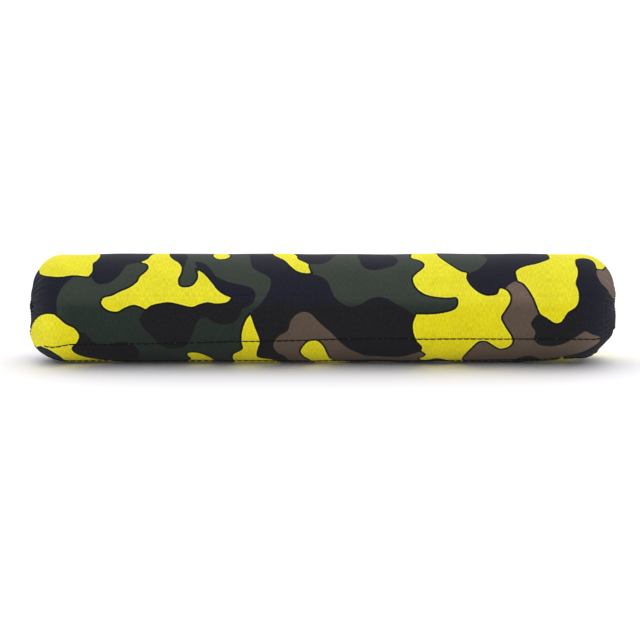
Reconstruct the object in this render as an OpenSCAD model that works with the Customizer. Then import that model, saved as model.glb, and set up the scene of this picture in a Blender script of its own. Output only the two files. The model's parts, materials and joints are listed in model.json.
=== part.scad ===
// Cylindrical training bumper pad: a foam tube in a gathered fabric sleeve, split along its length.
// Each half is drawn with the slit level with the bore axis, on the -Y side, and the whole pad is then
// rolled so that the slit lies a little above the front. X runs along the bore and +Z is up.
// Angles are measured about X from the slit: 90 is the top, 180 the hinge line, -90 the underside.

/* [Pad] */
// Length over the gathered hems
pad_length = 450; // [300:10:600]
// Diameter over the cover
pad_diameter = 83; // [80:1:100]
// Radius of the rounded shoulder at each end
shoulder_r = 25; // [15:1:25]
// Depth of the flat that the pad's weight presses into its underside
flat_depth = 0.5; // [0.3:0.1:0.8]
// Angle of the slit above the front
slit_angle = 18; // [0:1:30]

/* [Bore] */
// Diameter of the lined bore for the bar
bore_diameter = 25; // [20:1:28]
// Thickness of the roll of cloth round each mouth of the bore
hem_thickness = 5; // [4:0.5:6]
// Diameter of the elastic cord inside each hem
elastic_diameter = 2.4; // [1.5:0.1:3]

/* [Cloth] */
// Thickness of the cover and of the lining
cloth = 0.8; // [0.6:0.1:1]
// Clearance between each half and the plane of the slit
slit_clearance = 0.15; // [0.1:0.05:0.3]

/* [Closure flap] */
// Width of the flap round the pad, from its root to its free edge
flap_width = 64; // [60:1:64]
// Thickness of the flap
flap_thickness = 1; // [0.8:0.1:1.2]
// How far the flap's outer face stands out from the cover
flap_proud = 0.4; // [0.2:0.1:0.6]
// Distance from each end of the pad to the end of the flap
flap_setback = 9; // [8:1:20]
// Clearance between the flap and the cover under it
flap_clearance = 0.3; // [0.3:0.1:0.5]

/* [Hook-and-loop tape] */
// Width of both tapes
tape_width = 30; // [20:1:30]
// Thickness of each tape
tape_thickness = 1; // [0.8:0.1:1.2]
// Distance from the flap's free edge to the hook tape
tape_inset = 3; // [2:0.5:5]
// Distance from a tape's edge to its line of stitching
seam_inset = 0.8; // [0.6:0.1:2]
// Width of the sewing thread
thread_width = 0.6; // [0.4:0.1:0.8]

/* [Hidden] */
$fn = 96;

left = -1;
right = 1;
big = 2 * pad_length;

pad_r = pad_diameter / 2;
bore_r = bore_diameter / 2;
end_half = pad_length / 2 - 2; // the cover's end face lies a little behind the hem's crest
shoulder_centre_r = pad_r - shoulder_r;
barrel_half = end_half - shoulder_r;

hem_centre_r = bore_r + hem_thickness / 2;
hem_centre_x = (pad_length - hem_thickness) / 2;
seat_clearance = 0.1; // round each hem, and round the elastic in it

thread_height = 0.15;
hook_gap = 0.4; // between the hook tape and the stitching of the loop tape

// How far each surface stands out from the cover's own face
flap_outer = flap_proud;
flap_inner = flap_outer - flap_thickness;
hook_inner = flap_inner - tape_thickness;
loop_outer = hook_inner - hook_gap - thread_height;
landing_outer = loop_outer - tape_thickness; // the cover that the loop tape is sewn to
ledge_outer = flap_inner - flap_clearance; // the cover between the slit and the tape

flap_half = pad_length / 2 - flap_setback;
tape_half = flap_half - 3;
recess_half = flap_half + 1.5;

// Angles of the flap's and the tapes' edges
flap_root = -0.4;
flap_edge = flap_root - arc(flap_width, pad_r + flap_outer);
tape_lower = flap_edge + arc(tape_inset, pad_r + flap_outer);
tape_upper = tape_lower + arc(tape_width, pad_r + flap_inner);
seam_lower = tape_lower + arc(seam_inset, pad_r + flap_outer);
seam_upper = tape_upper - arc(seam_inset, pad_r + flap_outer);
landing_upper = tape_upper + arc(5, pad_r);
landing_lower = flap_edge - arc(1.6, pad_r);

cover_color = [0.82, 0.79, 0.16];
lining_color = [0.14, 0.14, 0.16];
foam_color = [0.2, 0.2, 0.21];
tape_color = [0.1, 0.1, 0.11];
thread_color = [0.15, 0.15, 0.12];
elastic_color = [0.85, 0.85, 0.82];

// The angle that a length takes up on a circle of radius r
function arc(length, r) = length / r * 180 / PI;

// Turns a half-section about the bore axis, from one angle to another
module turned(from, to) {
    rotate([90, 0, -90]) rotate_extrude(angle = to - from, start = from) children();
}

// Rolls the pad so that the slit lies above the front
module rolled() {
    rotate([-slit_angle, 0, 0]) children();
}

// Everything within a distance of mid-length, in the half-section
module within(half) {
    translate([0, -half]) square([big, 2 * half]);
}

// Half-section of the whole pad without its bore, grown all round: a barrel with two rounded shoulders
module section(grow) {
    intersection() {
        union() {
            translate([0, -barrel_half]) square([pad_r + grow, 2 * barrel_half]);
            translate([0, -end_half - grow]) square([shoulder_centre_r, 2 * (end_half + grow)]);
            for (side = [left, right])
                translate([shoulder_centre_r, side * barrel_half]) circle(r = shoulder_r + grow);
        }
        within(big);
    }
}

// The same section let in between the two ends, so that what lies on it ends up flush
module recessed_section(grow, level) {
    section(grow + level);
    difference() {
        section(grow);
        within(recess_half - grow);
    }
}

// The layer between two surfaces of the pad, out to a distance from mid-length
module layer(inner, outer, half) {
    intersection() {
        difference() {
            section(outer);
            section(inner);
        }
        within(half);
    }
}

// Centre of a hem's roll in the half-section
module at_hem(side) {
    translate([hem_centre_r, -side * hem_centre_x]) children();
}

module bore(r) {
    rotate([0, 90, 0]) cylinder(r = r, h = big, center = true);
}

// The closed upper half, grown by a distance
module upper_form(grow) {
    turned(0, 180) section(grow);
}

// The closed lower half: round at the back, let in under the flap, and flat where it rests
module lower_form(grow) {
    wall = arc(-grow, pad_r);
    difference() {
        union() {
            turned(-180, landing_lower - wall) section(grow);
            turned(landing_lower - wall, landing_upper + wall) recessed_section(grow, landing_outer);
            turned(landing_upper + wall, 0) recessed_section(grow, ledge_outer);
        }
        rotate([slit_angle, 0, 0])
            translate([-big / 2, -big / 2, -big - pad_r + flat_depth - grow]) cube(big);
    }
}

// The gap between the two halves, at the slit and at the hinge line
module slit_gap() {
    translate([-big / 2, -big / 2, -slit_clearance]) cube([big, big, 2 * slit_clearance]);
}

// The slab that the lining takes up on a half's slit face. half is 1 for the upper half and -1 for the lower.
module slit_face_slab(half) {
    bottom = half > 0 ? slit_clearance : -slit_clearance - cloth;
    translate([-big / 2, -big / 2, bottom]) cube([big, big / 2, cloth]);
}

// The seats at both ends that the hems lie in
module hem_seats() {
    seat = hem_thickness + seat_clearance;
    for (side = [left, right])
        translate([side * pad_length / 2, 0, 0]) rotate([0, 90, 0])
            cylinder(r = bore_r + seat, h = 2 * seat, center = true);
}

// The cloth over one half of the pad
module cover(half) {
    color(cover_color) rolled() difference() {
        if (half > 0) upper_form(0); else lower_form(0);
        if (half > 0) upper_form(-cloth); else lower_form(-cloth);
        hem_seats();
        slit_gap();
    }
}

// One half of the foam, inside the cover and round the lining
module foam_core(half) {
    color(foam_color) rolled() difference() {
        if (half > 0) upper_form(-cloth); else lower_form(-cloth);
        bore(bore_r + cloth);
        hem_seats();
        slit_gap();
        slit_face_slab(half);
    }
}

// Lines half of the bore and turns out across the slit's face
module lining(half) {
    color(lining_color) rolled() difference() {
        union() {
            turned(0, half * 180) translate([bore_r, -end_half]) square([cloth, 2 * end_half]);
            difference() {
                intersection() {
                    if (half > 0) upper_form(-cloth); else lower_form(-cloth);
                    slit_face_slab(half);
                }
                bore(bore_r);
            }
        }
        hem_seats();
        slit_gap();
    }
}

// The rolled, gathered hem round half of one mouth of the bore
module hem(side, half) {
    color(cover_color) rolled() difference() {
        turned(0, half * 180) at_hem(side) difference() {
            circle(d = hem_thickness);
            circle(d = elastic_diameter + seat_clearance);
        }
        slit_gap();
    }
}

// The elastic cord inside half of a hem
module elastic(side, half) {
    color(elastic_color) rolled() difference() {
        turned(0, half * 180) at_hem(side) circle(d = elastic_diameter);
        slit_gap();
    }
}

// The flap lies over the slit, from its root on the upper half down the front
module closure_flap() {
    color(cover_color) rolled() turned(flap_edge, flap_root) layer(flap_inner, flap_outer, flap_half);
}

// A tape under the flap, between two levels
module tape(inner, outer) {
    color(tape_color) rolled() turned(tape_lower, tape_upper) layer(inner, outer, tape_half);
}

// A row of stitching that lies on a surface, along the pad
module seam(angle, surface) {
    half_width = arc(thread_width / 2, pad_r);
    color(thread_color) rolled() turned(angle - half_width, angle + half_width)
        layer(surface, surface + thread_height, tape_half - seam_inset);
}

foam_core(-1);  // foam_core_lower
cover(-1);  // cover_lower
lining(-1);  // lining_lower
hem(left, -1);  // left_hem_lower
hem(right, -1);  // right_hem_lower
elastic(left, -1);  // left_elastic_lower
elastic(right, -1);  // right_elastic_lower
tape(landing_outer, loop_outer);  // loop_tape
seam(seam_upper, loop_outer);  // loop_tape_seam_upper
seam(seam_lower, loop_outer);  // loop_tape_seam_lower
foam_core(1);  // foam_core_upper
cover(1);  // cover_upper
lining(1);  // lining_upper
hem(left, 1);  // left_hem_upper
hem(right, 1);  // right_hem_upper
elastic(left, 1);  // left_elastic_upper
elastic(right, 1);  // right_elastic_upper
closure_flap();
tape(hook_inner, flap_inner);  // hook_tape
seam(seam_upper, flap_outer);  // hook_tape_seam_upper
seam(seam_lower, flap_outer);  // hook_tape_seam_lower
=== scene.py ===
"""The looks of the training bumper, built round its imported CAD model.

Sizes are in millimetres until a mesh is made. A place on the cloth has two coordinates: u, the distance along
the pad's profile from mid-length, and v, the distance round the pad from the front, upwards, both on the
cover's own face. Angles round the pad are measured from the front too, so 90 degrees is the top.
"""
import json
import math

import bmesh
import bpy
import numpy as np
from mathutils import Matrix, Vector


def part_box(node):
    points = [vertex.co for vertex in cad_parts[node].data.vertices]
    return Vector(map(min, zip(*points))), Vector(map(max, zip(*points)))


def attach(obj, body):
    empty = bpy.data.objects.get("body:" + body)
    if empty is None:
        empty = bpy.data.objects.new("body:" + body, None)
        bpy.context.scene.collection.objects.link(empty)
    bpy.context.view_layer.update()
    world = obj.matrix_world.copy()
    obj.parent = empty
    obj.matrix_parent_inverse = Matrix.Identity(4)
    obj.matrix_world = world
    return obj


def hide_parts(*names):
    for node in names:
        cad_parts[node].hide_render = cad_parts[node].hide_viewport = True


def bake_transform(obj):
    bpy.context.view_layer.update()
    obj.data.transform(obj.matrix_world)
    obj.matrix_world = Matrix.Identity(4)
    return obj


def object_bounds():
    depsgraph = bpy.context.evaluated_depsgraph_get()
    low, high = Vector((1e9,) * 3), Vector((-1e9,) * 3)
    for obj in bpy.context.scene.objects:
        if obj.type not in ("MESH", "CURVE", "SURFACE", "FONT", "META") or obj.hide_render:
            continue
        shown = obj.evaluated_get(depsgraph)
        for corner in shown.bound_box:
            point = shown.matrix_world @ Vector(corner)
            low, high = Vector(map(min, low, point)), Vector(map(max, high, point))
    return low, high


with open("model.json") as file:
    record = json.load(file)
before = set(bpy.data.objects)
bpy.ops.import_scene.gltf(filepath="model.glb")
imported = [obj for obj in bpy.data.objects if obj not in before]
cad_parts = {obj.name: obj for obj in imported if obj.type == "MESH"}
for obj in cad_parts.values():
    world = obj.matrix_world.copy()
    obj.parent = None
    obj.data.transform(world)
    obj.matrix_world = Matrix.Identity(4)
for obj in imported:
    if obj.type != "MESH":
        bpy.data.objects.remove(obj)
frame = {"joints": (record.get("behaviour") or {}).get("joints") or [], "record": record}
cad_low, cad_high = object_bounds()

MM = 0.001
LOWER, UPPER, FLAP = "lower_half", "upper_half", "flap"

# The pad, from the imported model. What that doesn't give is repeated from part.scad.
joints = {joint["name"]: joint for joint in frame["joints"]}
bore = next(mount for mount in frame["record"]["mounts"] if mount["name"] == "bar_bore")
PAD_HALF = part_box("left_hem_upper")[0].x / -MM
PAD_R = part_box("cover_upper")[1].z / MM
BORE_R = bore["dims"]["r_mm"]
FLOOR_Z = cad_low.z / MM
HINGE = math.atan2(joints["sleeve_open"]["pos_m"][2], -joints["sleeve_open"]["pos_m"][1])
SLIT = HINGE + math.pi
SLIT_AGAIN = SLIT + 2 * math.pi  # the same slit after a whole turn, where the lower half ends
SHOULDER_R = 25.0
END_HALF = PAD_HALF - 2.0
BARREL_HALF = END_HALF - SHOULDER_R
HEM_R = 2.5
HEM_CENTRE_R = BORE_R + HEM_R
CLOTH = 0.8
SLIT_GAP = 0.12  # from the slit's plane to the cloth on either side
GIRTH = 2 * math.pi * PAD_R
SLIT_V = SLIT * PAD_R

# The closure flap and the tapes, in the same way. Levels are heights over the cover's own face.
FLAP_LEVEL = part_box("closure_flap")[0].y / -MM - PAD_R
FLAP_THICK = 1.0
FLAP_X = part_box("closure_flap")[1].x / MM
FLAP_EDGE_V = -50.6
FLAP_CORNER_R = 9.0
TAPE_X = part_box("hook_tape")[1].x / MM
TAPE_TOP_V, TAPE_BOTTOM_V = -17.2, -47.7
LEDGE_LEVEL = -0.9
LANDING_LEVEL = -3.15
STITCH = 5.1  # from one needle hole to the next
SEAM_TOP_V = TAPE_TOP_V - 0.8
SEAM_BOTTOM_V = TAPE_BOTTOM_V + 0.8


# ---- Shape of the cloth ----

def smooth(value, low, high):
    """0 below low, 1 above high and a smooth step between."""
    t = np.clip((value - low) / (high - low), 0, 1)
    return t * t * (3 - 2 * t)


def hump(value, middle, width):
    """A smooth hump: 1 at the middle, and about a third of that at one width from it."""
    return np.exp(-(((value - middle) / width) ** 2))


def ripples(u, v, size, seed, waves=14):
    """Smooth unevenness, mostly within -1 to 1, with bumps of about that size."""
    random = np.random.default_rng(seed)
    total = np.zeros(np.broadcast(u, v).shape)
    for _ in range(waves):
        turn = random.uniform(0, 2 * math.pi)
        pitch = size * random.uniform(0.8, 2.2)
        along = u * math.cos(turn) + v * math.sin(turn)
        total += np.sin(2 * math.pi * along / pitch + random.uniform(0, 2 * math.pi))
    return total / math.sqrt(waves)


def centred(v, middle):
    """v brought within half a girth of middle."""
    return (v - middle + GIRTH / 2) % GIRTH + middle - GIRTH / 2


def lean_at(u):
    """How far the cloth has turned over the shoulder: 0 on the barrel, a quarter turn on the end face."""
    return np.clip((np.abs(u) - BARREL_HALF) / SHOULDER_R, 0, math.pi / 2)


def radius_at(u):
    """The cover's radius at u."""
    return PAD_R - SHOULDER_R + SHOULDER_R * np.cos(lean_at(u))


def length_at(u):
    """The cover's x at u."""
    lean = lean_at(u)
    return np.sign(u) * (np.minimum(np.abs(u), BARREL_HALF) + SHOULDER_R * np.sin(lean))


def u_at(x):
    """The u at which the cover reaches that x."""
    past = np.clip((np.abs(x) - BARREL_HALF) / SHOULDER_R, 0, 1)
    return np.sign(x) * (np.minimum(np.abs(x), BARREL_HALF) + SHOULDER_R * np.arcsin(past))


def on_pad(u, v, level, clear=0.0):
    """The point over the cloth coordinates u and v, at a height over the cover's own face. clear moves it off
    the slit's plane, for cloth that has turned into the slit."""
    u, v, level, clear = np.broadcast_arrays(*(np.asarray(value, float) for value in (u, v, level, clear)))
    lean = lean_at(u)
    x = length_at(u) + np.sign(u) * level * np.sin(lean)
    radius = radius_at(u) + level * np.cos(lean)
    angle = v / PAD_R
    y = -radius * np.cos(angle) + clear * math.sin(SLIT)
    z = radius * np.sin(angle) + clear * math.cos(SLIT)
    return np.stack([x, y, np.maximum(z, FLOOR_Z + 0.01)], axis=-1)


PLEATS = 38  # round each end


def gathers(angle):
    """The pleats that the elastic draws in round each end: 1 on a pleat's crest, 0 in the valley."""
    uneven = 1.3 * np.sin(3 * angle + 1) + 0.9 * np.sin(7 * angle + 2) + 0.5 * np.sin(11 * angle)
    return np.abs(np.cos((PLEATS * angle + uneven) / 2))


def gather_height(u, v):
    """How far the pleats lift the cloth at u and v. They start on the shoulder and deepen towards the hem."""
    angle = v / PAD_R
    reach = 0.15 * np.sin(5 * angle + 0.6) + 0.1 * np.sin(13 * angle + np.sign(u))
    depth = smooth(lean_at(u), 0.35 + reach, 1.5)
    return depth * (1.5 * gathers(angle) - 0.9)


ROOT_V = SLIT_V + 3.8  # the crease above the slit, where the flap leaves the cover
U_FLAP = float(u_at(FLAP_X))
U_TAPE = float(u_at(TAPE_X))
SLUMP_V = -58.0  # the stuffing lies unevenly round here, under both ends


def slump(u, v):
    """How far the stuffing stands out from an even shoulder. Under the right end it is loose, so the cloth
    hangs back there and the barrel beside it is lifted a little. The left end is fuller underneath."""
    lean = lean_at(u)
    around = centred(v, 0)
    corner = hump(lean, 0.85, 0.38)
    lift = 2.7 * smooth(u, 160, 197) * (1 - corner) * (1 - smooth(lean, 0.9, 1.4))
    right = -(4.6 * corner + lift) * hump(around, SLUMP_V, 23)
    left = smooth(lean, 0.3, 1.1) * (3.0 * hump(around, SLUMP_V, 20) - 1.1)
    return np.where(u > 0, right, left)


def cloth_height(u, v):
    """The unevenness of the cloth, on the cover and on the flap alike, on top of its slump."""
    broad = 0.28 * ripples(u, v, 60, 1) + 0.1 * ripples(u, v, 22, 2)
    within = 1 - smooth(np.abs(u), U_FLAP - 16, U_FLAP - 2)
    crease = hump(v, ROOT_V, 1.1) * (0.8 + 0.25 * ripples(u, 0 * v, 30, 3))
    ridge = 0.3 * hump(v, ROOT_V - 3.0, 1.6)
    return broad - within * (crease - ridge) + gather_height(u, v)


def seam_v(u, seam):
    """Where a line of stitching runs. The upper line wanders down towards the left end, and both of its ends
    bend down. The lower line rises a little towards the right end."""
    if seam == SEAM_BOTTOM_V:
        return seam + 2.5 * smooth(u, 90, 200)
    wander = 5.5 * smooth(-u, -60, 200)
    return seam - wander - 9.2 * smooth(-u, 190, 222) - 2.8 * smooth(u, 199, 216)


def seam_pull(u, v):
    """How far the two lines of stitching pull the flap's cloth down, deepest at each needle hole."""
    pull = 0
    turn = 2 * math.pi * u / STITCH
    holes = 0.5 + 0.5 * np.cos(turn)
    uneven = 0.6 + 0.4 * ripples(u, 0 * v, 35, 4)
    for seam in (SEAM_TOP_V, SEAM_BOTTOM_V):
        off = v - seam_v(u, seam)
        pucker = np.sin(turn + 0.25 * off) * np.exp(-np.abs(off) / 2.6)
        pull = pull + hump(off, 0, 1.0) * (0.22 + 0.2 * holes) + 0.05 * pucker * uneven
    return pull


# ---- Print ----

CORNER = True  # marks a point of an outline where it turns sharply
YELLOW = {
    "head": [
        (-220.5, 55), (-218.5, 44.5), (-211, 36), (-201, 32.5), (-189.5, 34), (-178.5, 32.5, CORNER),
        (-175.5, 38), (-175.5, 46.5), (-172, 52.5), (-170.5, 62.5), (-174, 78), (-190, 85), (-209.5, 82),
        (-225, 70), (-229, 70)],
    "star": [
        (-168, 11), (-166, 14.5), (-160.5, 16), (-154.5, 19), (-146, 23), (-140.5, 28), (-139, 32),
        (-134.5, 37), (-132.5, 41.5), (-134, 46), (-138.5, 48, CORNER), (-133.5, 53), (-130.5, 62.5),
        (-125.5, 74), (-118.5, 73), (-117, 59), (-114, 52), (-110, 47.5), (-107.5, 42, CORNER), (-108, 36),
        (-110, 30.5), (-109.5, 25), (-106, 23), (-99.5, 24), (-95.5, 29), (-94.5, 34), (-96, 40, CORNER),
        (-90, 34.5), (-84, 26.5), (-78.5, 19.5), (-69.5, 14.5, CORNER), (-73, 11.5), (-80.5, 10.5),
        (-87.5, 11.5), (-93.5, 10), (-99.5, 8), (-107, 9.5), (-116.5, 11.5), (-124.5, 10.5), (-130.5, 9),
        (-134.5, 6, CORNER), (-138, 8), (-144, 9.5), (-151, 7), (-156, 4.5), (-161.5, 5), (-166, 7.5)],
    "boot": [
        (-236, -36), (-233, -23), (-228.5, -12.5), (-222, -4), (-214, 1), (-205.5, 2), (-201, -0.5),
        (-195.5, -5.5), (-189, -9), (-185.5, -15), (-187.5, -21.5), (-191.5, -27), (-190, -32.5),
        (-184.5, -38), (-175, -43.5), (-162, -48.5), (-151.5, -56.5), (-160, -64.5), (-182, -66.5),
        (-194, -59.5), (-196.5, -49), (-200.5, -39), (-205, -34.5), (-210, -32.5), (-216, -35),
        (-220.5, -41), (-224, -51), (-233, -52)],
    "flame": [
        (-55, 2, CORNER), (-58.5, -3.5), (-61, -11.5), (-61.5, -20.5), (-60.5, -27.5), (-63.5, -31.5),
        (-67.5, -35), (-68.5, -40.5), (-67, -49), (-62.5, -59.5), (-48.5, -65.5), (-35.5, -60.5),
        (-33.5, -52), (-38.5, -44.5), (-44.5, -42), (-49.5, -39.5), (-50.5, -34), (-49.5, -27), (-48, -20),
        (-49.5, -14), (-52, -7), (-54, -1)],
    "thumb": [
        (-103, -34.5), (-100, -33), (-94, -34), (-87.5, -39), (-83.5, -45.5), (-83, -54.5), (-87, -63.5),
        (-97, -65.5), (-104, -58.5), (-102.5, -49), (-100.5, -42.5), (-102.5, -38)],
    "finger": [
        (-16.5, -31), (-15.5, -27), (-12.5, -22), (-9.5, -20), (-4, -20), (0.5, -25.5), (3, -33.5),
        (5, -40.5), (8, -45.5), (8.5, -53.5), (4, -62.5), (-4, -62.5), (-7, -51.5), (-9.5, -43),
        (-14, -37)],
    "feather": [
        (-36.5, 61), (-29, 51.5), (-24, 43), (-19.5, 38), (-14.5, 36), (-8.5, 35.5, CORNER), (-10, 39),
        (-11, 43), (-11, 45.5), (-15.5, 49.5), (-19, 53.5), (-20, 61), (-24.5, 71), (-36.5, 71)],
    "bead": [(180.5, -46), (182, -42), (184.5, -43.5), (185, -49), (181, -50)],
    "drop": [
        (-83.5, 62.5), (-82, 56), (-78, 53.5), (-73, 55.5), (-71, 61), (-75, 72), (-81, 72)],
    "serpent": [
        (68, 59), (69, 54.5), (74.5, 51), (78, 45.5), (77, 40.5), (72.5, 35.5), (69, 30.5), (71, 23.5),
        (76.5, 18.5), (84.5, 16), (95, 15), (101.5, 15.5), (103.5, 11.5), (101.5, 6.5), (94, 3.5),
        (82.5, 2), (71.5, 2, CORNER), (69, -5), (69.5, -12.5), (72, -19.5), (76, -25),
        (75.5, -29.5, CORNER), (79, -34), (78, -37.5), (74, -41.5, CORNER), (77, -44.5), (82.5, -43.5),
        (87, -41), (92.5, -43), (97.5, -48.5), (99, -58.5), (105, -60.5), (107.5, -49), (106.5, -42.5),
        (109, -34.5), (113.5, -26.5), (119, -20), (125.5, -20), (130, -23.5), (135.5, -27.5),
        (141.5, -25.5), (144.5, -20.5), (143, -14.5), (139, -8), (135.5, -0.5), (138, 4.5), (142, 11),
        (142.5, 16.5), (139.5, 20.5), (135, 22), (134, 19), (131.5, 17), (124.5, 16.5), (118.5, 19),
        (113, 24), (109.5, 30.5), (110, 36, CORNER), (104.5, 38), (97.5, 44.5), (92, 51.5), (88.5, 59),
        (87, 67), (80, 75), (70.5, 73)],
    "cloud": [
        (174, 56), (172.5, 52), (164.5, 46.5), (154, 42.5), (148, 38), (148, 33), (149, 28.5, CORNER),
        (153, 26.5), (157.5, 20.5), (161, 14), (164, 6.5), (166, 2.5), (171, -0.5), (176, -4), (180.5, -4),
        (183.5, -0.5), (186.5, 4), (192, 7.5), (194.5, 12.5), (194.5, 19.5), (192.5, 26.5), (194, 33),
        (194.5, 39), (193, 45.5), (193.5, 52), (197.5, 54.5), (204.5, 54.5), (208.5, 51),
        (210, 43.5, CORNER), (216, 49), (221.5, 66), (234, 70), (222, 78), (194.5, 83), (174, 76)],
}
GREEN = {
    "left": [
        (-186.5, 34), (-194, 28), (-198.5, 22), (-201.5, 15.5), (-202, 8.5), (-201, 0), (-195.5, -8),
        (-185, -12), (-180.5, -13), (-177, -17.5), (-173, -21.5), (-167.5, -23.5), (-161, -22.5),
        (-155.5, -20.5), (-148.5, -21), (-143, -25), (-140, -32), (-141, -43.5), (-135.5, -56.5),
        (-119.5, -64.5), (-93, -66.5), (-71, -60.5), (-61, -45.5), (-59.5, -27), (-58.5, -8), (-53.5, 4),
        (-48, 9), (-43, 16), (-40, 22.5), (-39.5, 29.5), (-43.5, 34), (-49, 37.5), (-53.5, 42),
        (-55, 49.5), (-56, 60), (-62.5, 74), (-87, 76), (-105, 72), (-127.5, 51.5), (-139, 47.5),
        (-145.5, 46), (-149.5, 43.5), (-152, 38.5), (-155.5, 32.5), (-161.5, 27), (-168, 25.5), (-173, 27),
        (-177.5, 33)],
    "middle": [
        (-9, 45.5), (-3, 45.5), (2.5, 48), (6, 52.5), (9.5, 60), (16, 74), (40.5, 80), (67, 76),
        (79, 62.5), (86, 47.5), (88.5, 31), (107, 18.5), (107, 4), (92.5, -2), (74, 0), (68, 3), (62, 7),
        (54.5, 11), (48, 14.5), (41, 15.5), (34.5, 13), (28.5, 9.5), (21.5, 8), (16, 9.5), (10.5, 14),
        (7, 20), (4.5, 27), (1, 31), (-4, 33.5), (-10, 35.5), (-14.5, 40)],
    "right": [
        (85, 62.5), (90, 49.5), (98.5, 39), (109, 34), (113, 36.5), (118.5, 39.5), (122.5, 44.5),
        (125.5, 50.5), (124.5, 58), (117.5, 67.5), (101, 74), (89, 72)],
}
BROWN = {
    "slope": [
        (-15, 4), (-21, 1), (-24.5, -4), (-26.5, -10.5), (-33, -15), (-37, -21), (-37, -27), (-33.5, -33),
        (-28.5, -37.5), (-25, -45.5), (-14, -55.5), (2, -59), (12, -54), (20, -47.5), (32, -44.5),
        (46, -44.5), (60, -45), (72, -47), (81, -44.5), (79.5, -37), (76.5, -30.5), (67.5, -34.5),
        (60, -38), (50, -38.5), (42, -37.5), (33.5, -37),
        (27, -33), (20, -28), (13.5, -21), (6.5, -12.5), (0.5, -7), (-3.5, -3), (-9, 2.5)],
    "bridge": [
        (105.5, -43.5), (109.5, -31), (119, -18.5), (131.5, -14.5), (134, 0), (136, 12.5), (138, 20),
        (143, 26), (149, 28.5), (156, 28), (164, 16.5), (168, 4), (163.5, 2), (160.5, -1), (158.5, -5.5),
        (162, -12), (161, -17.5), (164.5, -23), (169.5, -24.5), (175, -25), (181.5, -23.5), (187, -20.5),
        (193, -16), (197.5, -12.5), (200.5, -11.3), (205, -14.2), (210, -17), (213, -20.5),
        (211.5, -24), (205, -27.5), (194, -35), (184, -40), (174, -50), (160, -57.5), (131.5, -60.5),
        (107.5, -56.5)],
    "corner": [
        (210, 41.5), (215.5, 47.5), (221, 65.5), (232, 61), (239, 41), (237, 25), (228.5, 20), (222, 24.5),
        (214.5, 29), (210.5, 34)],
}
BLACK = {  # blots over the green and the brown
    "eagle": [
        (-97.5, 46.5), (-96, 49), (-93, 48.5), (-88.5, 45), (-84.5, 38.5), (-81, 33), (-75, 29.5),
        (-68.5, 27), (-60.5, 25), (-54, 22.5), (-51, 18), (-52, 12), (-56, 8.5), (-61, 6), (-63, 1),
        (-66, -3), (-71, -5.5), (-78, -5.5), (-83.5, -3.5), (-88, -0.5), (-92.5, -1), (-96, -5),
        (-98, -11), (-100.5, -17.5), (-103.5, -24), (-109, -27.5), (-116, -27.5), (-123, -24.5),
        (-127.5, -18.5), (-133, -12), (-137, -7.5), (-139, -3), (-138, 1), (-133, 7), (-115.5, 17.5),
        (-92.5, 20.5), (-86.5, 24.5), (-91.5, 34)],
    "notch": [
        (-109.5, 42), (-105.5, 43.5), (-104, 50), (-103.5, 60), (-109.5, 73), (-119.5, 72), (-123, 56),
        (-116.5, 46.5)],
    "bell": [
        (27, 61), (28.5, 51.5), (30, 44.5), (34, 40), (40, 39), (47.5, 41), (54.5, 44), (57.5, 49.5),
        (56.5, 56.5), (50.5, 64.5), (40.5, 74), (31.5, 72)],
    "toe": [
        (157.5, -37.5), (151.5, -40), (147, -45.5), (146.5, -56.5), (154, -62.5), (164, -59.5), (167, -50),
        (164, -40.5)],
}
FRONT_MIDDLE_V = 7.0
REPEAT_V = 144.4  # the hidden side repeats the print turned by half a turn about half this height
UNDER_FLAP_U, UNDER_FLAP_V = 170, 60  # from the cover under the flap to the stretch of print that it shows
FIELD_REACH = 5.0  # depths inside the colours are kept up to this


def outline(points, steps=6):
    """A closed curve through the points, smooth except at the corners."""
    corners = [len(point) > 2 for point in points]
    ring = np.array([point[:2] for point in points], float)
    behind, ahead = np.roll(ring, 1, axis=0), np.roll(ring, -1, axis=0)
    slope = (ahead - behind) / 2
    t = np.arange(steps)[:, None] / steps
    curve = []
    for i, start in enumerate(ring):
        end = ahead[i]
        leave = end - start if corners[i] else slope[i]
        arrive = end - start if corners[(i + 1) % len(ring)] else slope[(i + 1) % len(ring)]
        curve.append(
            (2 * t**3 - 3 * t**2 + 1) * start + (t**3 - 2 * t**2 + t) * leave
            + (3 * t**2 - 2 * t**3) * end + (t**3 - t**2) * arrive)
    return np.concatenate(curve)


def inside_by(curve, u, v):
    """How far inside the closed curve each place is, in millimetres, and less than 0 outside."""
    depth = np.full(u.shape, -FIELD_REACH)
    low, high = curve.min(0) - FIELD_REACH, curve.max(0) + FIELD_REACH
    near = (u > low[0]) & (u < high[0]) & (v > low[1]) & (v < high[1])
    if not near.any():
        return depth
    place = np.stack([u[near], v[near]], axis=-1)
    nearest = np.full(len(place), np.inf)
    crossings = np.zeros(len(place), int)
    for start, end in zip(curve, np.roll(curve, -1, axis=0)):
        way = end - start
        share = np.clip((place - start) @ way / (way @ way), 0, 1)
        gap = place - start - share[:, None] * way
        nearest = np.minimum(nearest, (gap**2).sum(1))
        if way[1]:
            level = (place[:, 1] - start[1]) / way[1]
            crossings += (level >= 0) & (level < 1) & (start[0] + level * way[0] > place[:, 0])
    distance = np.minimum(np.sqrt(nearest), FIELD_REACH)
    depth[near] = np.where(crossings % 2 == 1, distance, -distance)
    return depth


def deepest(outlines, u, v):
    """The depth inside whichever outline a place is furthest inside."""
    depth = np.full(u.shape, -FIELD_REACH)
    for points in outlines.values():
        depth = np.maximum(depth, inside_by(outline(points), u, v))
    return depth


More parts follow.
